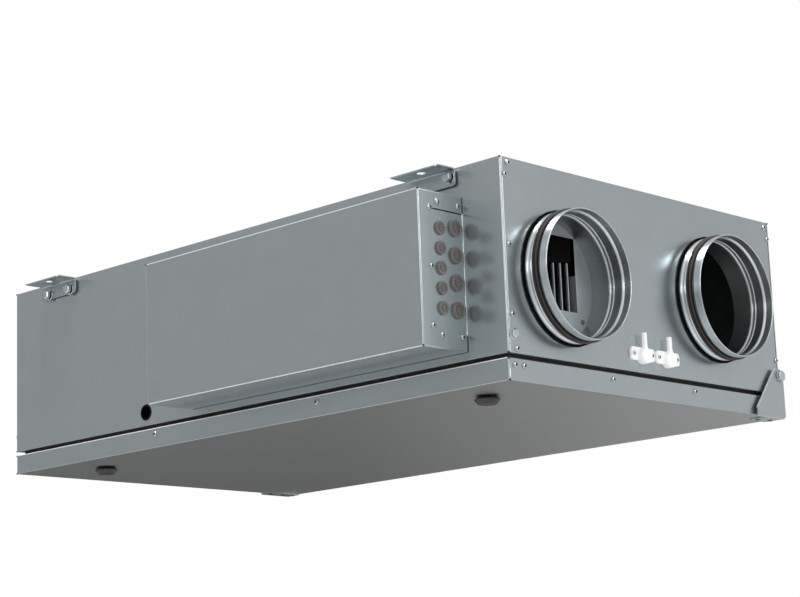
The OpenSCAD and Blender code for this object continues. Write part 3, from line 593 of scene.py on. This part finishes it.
# Black strip painted as the shade in the slit under the cover's top strip, where the grommet plate starts
SLIT_FROM_TOP, SLIT_L, SLIT_H, SLIT_PROUD = 27 * MM, 64 * MM, 1.1 * MM, 0.25 * MM
slit_shade_places = []
for end, wall in ((1, box_high.x), (-1, box_low.x)):
    bm = bmesh.new()
    bmesh.ops.create_cube(bm, size=1, matrix=Matrix.Diagonal((SLIT_L, SLIT_H, 2 * SLIT_PROUD, 1)))
    spot = Vector((wall, case_low.y - SLIT_L / 2 - BEND_R, box_high.z - SLIT_FROM_TOP))
    slit_shade_places.append((to_mesh(bm, "slit"), spot, (end, 0, 0), 0))
scatter("cover_slit_shade", slit_shade_places, [BLACK_AND_SHADE], "casing")

# Small dark dots painted as the shade in the notches where folds meet at the corners
DOT_R, DOT_IN = 1.7 * MM, 0.9 * MM
dot_slopes = [math.radians(d) for d in (0, 30, 60, 90, 120, 150)]
dot_side = [(DOT_R * math.sin(a), -DOT_R * math.cos(a)) for a in dot_slopes]
DOT = to_mesh(lathe(dot_side + [(0, DOT_R)], steps=16), "dot")


def notch_shade_dots(name, body, low, high, far_y):
    """Dark dots painted as notch shade at a box's corners, on its near side and on its far side if asked.
    """
    places = []
    sides = (low.y + DOT_IN, high.y - DOT_IN) if far_y else (low.y + DOT_IN,)
    for x in (low.x + DOT_IN, high.x - DOT_IN):
        for y in sides:
            for z in (low.z + DOT_IN, high.z - DOT_IN):
                places.append((DOT, Vector((x, y, z)), (0, 0, 1), 0))
    scatter(name, places, [DARK_STEEL_AND_SHADE], body)


notch_shade_dots("casing_corner_dots", "casing", case_low, case_high, True)
notch_shade_dots("box_corner_dots", "casing", box_low, box_high, False)
notch_shade_dots("door_corner_dots", "door", door_low, door_high, True)

# Bracket bolts, each with a washer, a rubber ring and a hexagon head, and a rivet beside them. The dark
# ring also paints the shade in the gap under each head.
BOLT_APART = 30.5 * MM
BOLT_ASIDE = 4.5 * MM
BOLT_DROP = 19.5 * MM
LONE_BOLT_SHIFT = Vector((4 * MM, 0, 6 * MM))
LEG_T = 2.5 * MM
WASHER_T, RING_T = 1.8 * MM, 2.4 * MM
WASHER = washer(10 * MM, 4 * MM, WASHER_T)
RING = washer(6.5 * MM, 4 * MM, RING_T)
HEAD = hex_head(14.5 * MM, 6 * MM)
HEAD_TURN = 0.5
RIVET = flush_head(2.2 * MM, 1 * MM)
RIVET_ASIDE, RIVET_DROP = 15 * MM, 11 * MM
BRACKET_BOLTS = {"bracket_near_front": (1,), "bracket_near_rear": (-1, 1), "bracket_far_front": (-1, 1),
                 "bracket_far_rear": (-1, 1)}
bolt_places, shade_ring_places, rivet_places = [], [], []
for bracket, steps in BRACKET_BOLTS.items():
    low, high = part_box(bracket)
    side = 1 if low.y > 0 else -1
    outward = Vector((0, side, 0))
    middle = Vector(((low.x + high.x) / 2, side * (min(abs(low.y), abs(high.y)) + LEG_T), high.z))
    rivet_places.append((RIVET, middle + Vector((RIVET_ASIDE, 0, -RIVET_DROP)), outward, 0))
    for step in steps:
        spot = middle + Vector((BOLT_ASIDE + step * BOLT_APART, 0, -BOLT_DROP))
        if len(steps) == 1:
            spot += LONE_BOLT_SHIFT
        bolt_places.append((WASHER, spot, outward, 0))
        shade_ring_places.append((RING, spot + outward * WASHER_T, outward, 0))
        top = spot + outward * (WASHER_T + RING_T)
        bolt_places.append((HEAD, top, outward, HEAD_TURN * len(bolt_places)))
scatter("bracket_bolts", bolt_places, [MATERIALS["bright_zinc"]], "casing")
scatter("bracket_bolt_shade_rings", shade_ring_places, [MATERIALS["dark_rubber"]], "casing")
scatter("bracket_rivets", rivet_places, [SCREW_STEEL], "casing")

# Pivot bolts for hanging the door on the near side instead
PIVOT_HEAD = hex_head(13 * MM, 5.5 * MM)
PIVOT_TURN = 0.4
PIVOT_WASHER_T = 1.5 * MM
PIVOT_WASHER = washer(8.5 * MM, 4 * MM, PIVOT_WASHER_T)
pivot_z = (pivot_low.z + pivot_high.z) / 2
pivot_y = (pivot_low.y + pivot_high.y) / 2
spare_places = []
for end in (1, -1):
    spot = Vector((end * case_high.x, -pivot_y, pivot_z))
    spare_places.append((PIVOT_WASHER, spot.copy(), (end, 0, 0), 0))
    spot += Vector((end * PIVOT_WASHER_T, 0, 0))
    spare_places.append((PIVOT_HEAD, spot, (end, 0, 0), PIVOT_TURN))
scatter("spare_pivot_bolts", spare_places, [MATERIALS["bright_zinc"]], "casing")

# Pale strip painted as the highlight on each hinge ear's cut edge along its slope, from its knee to its
# head
EAR_KNEE_UP, EAR_HEAD_W, EAR_T, EDGE_T = 15 * MM, 23 * MM, 3 * MM, 0.4 * MM
slope = Vector((0, ear_high.y - EAR_HEAD_W - ear_low.y, ear_high.z - ear_low.z - EAR_KNEE_UP))
slope_out = Vector((0, -slope.z, slope.y)).normalized()
edge_highlight_places = []
for end in (1, -1):
    bm = bmesh.new()
    bmesh.ops.create_cube(bm, size=1, matrix=Matrix.Diagonal((EAR_T, slope.length, EDGE_T, 1)))
    foot = Vector((end * (ear_high.x - EAR_T / 2), ear_low.y, ear_low.z + EAR_KNEE_UP))
    edge_highlight_places.append((to_mesh(bm, "slope"), foot + slope / 2 + slope_out * EDGE_T / 2, slope_out, 0))
scatter("hinge_ear_edge_highlights", edge_highlight_places, [EDGE_HIGHLIGHT], "door")

# Pale rod painted as the highlight along the top of the door tray's near side
HEM_R, HEM_IN, HEM_FROM_END = 0.75 * MM, 0.5 * MM, 4 * MM
hem_y, hem_z = door_low.y + HEM_IN, door_high.z - HEM_IN / 2
door_hem_highlight = rod_along_x(door_low.x + HEM_FROM_END, door_high.x - HEM_FROM_END, hem_y, hem_z, HEM_R)
scatter("door_hem_highlight", [door_hem_highlight], [EDGE_HIGHLIGHT], "door")

# Pale rods painted as highlights on the control box's lower front edge and its far upright, and a black
# rod painted as the shade in the crease at the casing
LIP_R, LIP_IN, UPRIGHT_R, CREASE_R = 0.55 * MM, 0.5 * MM, 0.45 * MM, 0.4 * MM
lip_y, lip_z = box_low.y + LIP_IN, box_low.z + LIP_IN / 2
box_lip_highlight = rod_along_x(box_low.x + HEM_FROM_END, box_high.x - HEM_FROM_END, lip_y, lip_z, LIP_R)
upright_x, upright_y = box_low.x + 2 * LIP_IN, box_low.y + 2 * LIP_IN
box_upright_highlight = rod(Vector((upright_x, upright_y, box_low.z + HEM_FROM_END)),
                  Vector((upright_x, upright_y, box_high.z - HEM_FROM_END)), UPRIGHT_R)
scatter("control_box_hem_highlights", [box_lip_highlight, box_upright_highlight], [EDGE_HIGHLIGHT], "casing")
box_crease_shade = rod_along_x(box_low.x + HEM_FROM_END, box_high.x, case_low.y, box_low.z, CREASE_R)
scatter("control_box_crease", [box_crease_shade], [BLACK_AND_SHADE], "casing")

# Two flush screws under each hinge ear's foot, as (in from the end face, in from the far side) in mm
EAR_SCREW = flush_head(4 * MM, 0.8 * MM)
EAR_SCREWS = ((14, 14.5), (19, 43.5))
ear_places = []
for end in (1, -1):
    for inset, along in EAR_SCREWS:
        spot = Vector((end * (door_high.x - inset * MM), door_high.y - along * MM, ear_low.z))
        ear_places.append((EAR_SCREW, spot, (0, 0, -1), 0))
scatter("hinge_ear_screws", ear_places, [DARK_STEEL_AND_SHADE], "door")

# Two screws in each pressure tap's foot
TAP_SCREW = pan_head(3.2 * MM, 1.8 * MM)
TAP_SCREW_TURN = 0.9
TAP_SCREW_APART = 22.5 * MM
TAP_FOOT_T = 5 * MM
tap_places = []
for tap in ("pressure_tap_left", "pressure_tap_right"):
    low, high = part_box(tap)
    for step in (-1, 1):
        spot = Vector((low.x + TAP_FOOT_T, (low.y + high.y) / 2 + step * TAP_SCREW_APART, pivot_z))
        tap_places.append((TAP_SCREW, spot, (1, 0, 0), TAP_SCREW_TURN * len(tap_places)))
scatter("tap_screws", tap_places, SCREW_LOOK, "casing")

# Black ring painted as the contact shade at each spigot's root, against the end panel
ROOT_IN, ROOT_OUT, ROOT_T = 2.5 * MM, 3.5 * MM, 2.5 * MM
root_shade_places = []
for spigot in SPIGOTS:
    low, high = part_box(spigot)
    end = 1 if high.x > 0 else -1
    bead_r = (high.z - low.z) / 2
    ring = washer(bead_r + ROOT_OUT, bead_r - ROOT_IN, ROOT_T)
    root = Vector((end * case_high.x, (low.y + high.y) / 2, (low.z + high.z) / 2))
    root_shade_places.append((ring, root, (end, 0, 0), 0))
scatter("spigot_root_shade_rings", root_shade_places, [BLACK_AND_SHADE], "casing")

# A rivet in the heater plate, below and beside its window
PLATE_RIVET = flush_head(3.8 * MM, 1.6 * MM)
RIVET_FROM_SIDE, RIVET_UP = 207.5 * MM, 72 * MM
plate_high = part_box("heater_plate")[1]
rivet_spot = Vector((plate_high.x, case_low.y + RIVET_FROM_SIDE, case_low.z + RIVET_UP))
scatter("heater_plate_rivet", [(PLATE_RIVET, rivet_spot, (1, 0, 0), 0)], [MATERIALS["grommet_rubber"]],
        "casing")


# Studio
def card_glow(name, stops, along):
    """A plain glow across a card, given as (share, level) stops along its width X or height Y."""
    material = bpy.data.materials.new(name)
    material.use_nodes = True
    tree = material.node_tree
    tree.nodes.clear()
    place = tree.nodes.new("ShaderNodeTexCoord").outputs["Object"]
    split = tree.nodes.new("ShaderNodeSeparateXYZ")
    across = tree.nodes.new("ShaderNodeMath")
    across.operation = "ADD"
    across.inputs[1].default_value = 0.5
    ramp = tree.nodes.new("ShaderNodeValToRGB")
    for element, (share, level) in zip(ramp.color_ramp.elements, stops):
        element.position = share
        element.color = (level, level, level, 1)
    glow = tree.nodes.new("ShaderNodeEmission")
    out = tree.nodes.new("ShaderNodeOutputMaterial")
    tree.links.new(place, split.inputs["Vector"])
    tree.links.new(split.outputs[along], across.inputs[0])
    tree.links.new(across.outputs["Value"], ramp.inputs["Fac"])
    tree.links.new(ramp.outputs["Color"], glow.inputs["Color"])
    tree.links.new(glow.outputs["Emission"], out.inputs["Surface"])
    return material


def card(name, centre, facing, width, height, stops, along="X"):
    """Adds a large studio card that only reflections see."""
    ahead = Vector(facing).normalized()
    across = Vector((0, 0, 1)).cross(ahead).normalized()
    upward = ahead.cross(across)
    axes = Matrix((across * width, upward * height, ahead)).transposed().to_4x4()
    bm = bmesh.new()
    bmesh.ops.create_grid(bm, x_segments=1, y_segments=1, size=0.5)
    mesh = bpy.data.meshes.new(name)
    bm.to_mesh(mesh)
    bm.free()
    mesh.materials.append(card_glow(name, stops, along))
    obj = bpy.data.objects.new(name, mesh)
    obj.matrix_world = Matrix.Translation(centre) @ axes
    scene.collection.objects.link(obj)
    obj.visible_camera = False
    obj.visible_diffuse = False
    obj.visible_shadow = False


def softbox(name, position, target, size, watts):
    """Adds a square area lamp that the camera doesn't see."""
    lamp = bpy.data.lights.new(name, "AREA")
    lamp.shape = "SQUARE"
    lamp.size = size
    lamp.energy = watts
    obj = bpy.data.objects.new(name, lamp)
    obj.location = position
    obj.rotation_euler = (Vector(target) - Vector(position)).to_track_quat("-Z", "Y").to_euler()
    obj.visible_camera = False
    scene.collection.objects.link(obj)


def white_world(soft_level):
    """White to the camera and in reflections, softer as light."""
    world = bpy.data.worlds.new("studio")
    world.use_nodes = True
    tree = world.node_tree
    background = tree.nodes["Background"]
    background.inputs["Color"].default_value = (1, 1, 1, 1)
    path = tree.nodes.new("ShaderNodeLightPath")
    seen = path.outputs["Is Camera Ray"]
    for ray in ("Is Glossy Ray", "Is Transmission Ray"):
        either = tree.nodes.new("ShaderNodeMath")
        either.operation = "MAXIMUM"
        tree.links.new(seen, either.inputs[0])
        tree.links.new(path.outputs[ray], either.inputs[1])
        seen = either.outputs["Value"]
    level = tree.nodes.new("ShaderNodeMapRange")
    level.inputs["To Min"].default_value = soft_level
    level.inputs["To Max"].default_value = 1.0
    tree.links.new(seen, level.inputs["Value"])
    tree.links.new(level.outputs["Result"], background.inputs["Strength"])
    scene.world = world


def pale_floor(depth, half_size):
    """A pale floor under the hung unit, open from below."""
    bm = bmesh.new()
    bmesh.ops.create_grid(bm, x_segments=1, y_segments=1, size=half_size)
    mesh = bpy.data.meshes.new("floor")
    bm.to_mesh(mesh)
    bm.free()
    look = Look("floor", 0.0, 0.2)
    look.colours(look.noise(0.8), (0.91, 0.91, 0.91), (0.93, 0.93, 0.93))
    look.shader.inputs["Roughness"].default_value = 0.9
    tree = look.tree
    clear = tree.nodes.new("ShaderNodeBsdfTransparent")
    mix = tree.nodes.new("ShaderNodeMixShader")
    side = tree.nodes.new("ShaderNodeNewGeometry")
    out = tree.nodes["Material Output"]
    tree.links.new(side.outputs["Backfacing"], mix.inputs["Fac"])
    tree.links.new(look.shader.outputs["BSDF"], mix.inputs[1])
    tree.links.new(clear.outputs["BSDF"], mix.inputs[2])
    tree.links.new(mix.outputs["Shader"], out.inputs["Surface"])
    mesh.materials.append(look.material)
    obj = bpy.data.objects.new("floor", mesh)
    obj.location = (0, 0, depth)
    scene.collection.objects.link(obj)


SOFT_LEVEL = 0.62
FLOOR_Z, FLOOR_HALF = -2.6, 40
white_world(SOFT_LEVEL)
pale_floor(FLOOR_Z, FLOOR_HALF)

# Lamps aimed at the unit's middle, as (name, position, size, watts)
LAMPS = (("front_lamp", (1.5, -3.9, 0.9), 1.0, 14),
         ("right_lamp", (3.9, 0.9, 1.2), 1.6, 40),
         ("overhead", (0.0, -0.5, 3.0), 1.0, 220))
unit_middle = (cad_box[0] + cad_box[1]) / 2
for name, position, size, watts in LAMPS:
    softbox(name, position, unit_middle, size, watts)

# Cards that the sheet mirrors, as centre, facing, width, height and glow stops
card("side_card", (-3.0, -3.2, 0.9), (0.68, 0.70, -0.2), 7, 4, ((0.35, 0.50), (0.65, 0.49)))
card("end_card", (2.97, 2.47, 0.6), (-0.69, -0.72, 0.0), 6, 4, ((0.425, 0.78), (0.59, 0.60)), "Y")
card("under_card", (-2.3, 2.4, -1.35), (0.69, -0.72, 0.1), 6, 2.2, ((0.48, 0.05), (0.72, 0.48)))
card("glint_card", (-2.6, -1.0, 2.5), (0.66, 0.2, -0.7), 2.4, 2.6, ((0.0, 2.0), (1.0, 2.0)))
card("corner_card", (3.6, -3.7, -1.0), (-0.68, 0.70, 0.2), 5, 4, ((0.0, 0.82), (1.0, 0.82)))

# Camera at the photograph's viewing angle
VIEW_AZIMUTH, VIEW_ELEVATION, VIEW_ROLL = (math.radians(d) for d in (43.85, -11.85, -2.198))
EYE = Vector((2.5315, -2.5772, -0.8265))
PHOTO_WIDTH = 800
FOCAL_PIXELS = 2117.7
SENSOR_MM = 36.0
backward = Vector((math.sin(VIEW_AZIMUTH) * math.cos(VIEW_ELEVATION),
                   -math.cos(VIEW_AZIMUTH) * math.cos(VIEW_ELEVATION), math.sin(VIEW_ELEVATION)))
level_right = Vector((math.cos(VIEW_AZIMUTH), math.sin(VIEW_AZIMUTH), 0))
level_up = backward.cross(level_right)
right = math.cos(VIEW_ROLL) * level_right + math.sin(VIEW_ROLL) * level_up
up = math.cos(VIEW_ROLL) * level_up - math.sin(VIEW_ROLL) * level_right
camera_data = bpy.data.cameras.new("camera")
camera_data.sensor_width = SENSOR_MM
camera_data.lens = FOCAL_PIXELS * SENSOR_MM / PHOTO_WIDTH
camera = bpy.data.objects.new("camera", camera_data)
camera.matrix_world = Matrix.Translation(EYE) @ Matrix((right, up, backward)).transposed().to_4x4()
scene.collection.objects.link(camera)
scene.camera = camera
scene.view_settings.view_transform = "Standard"
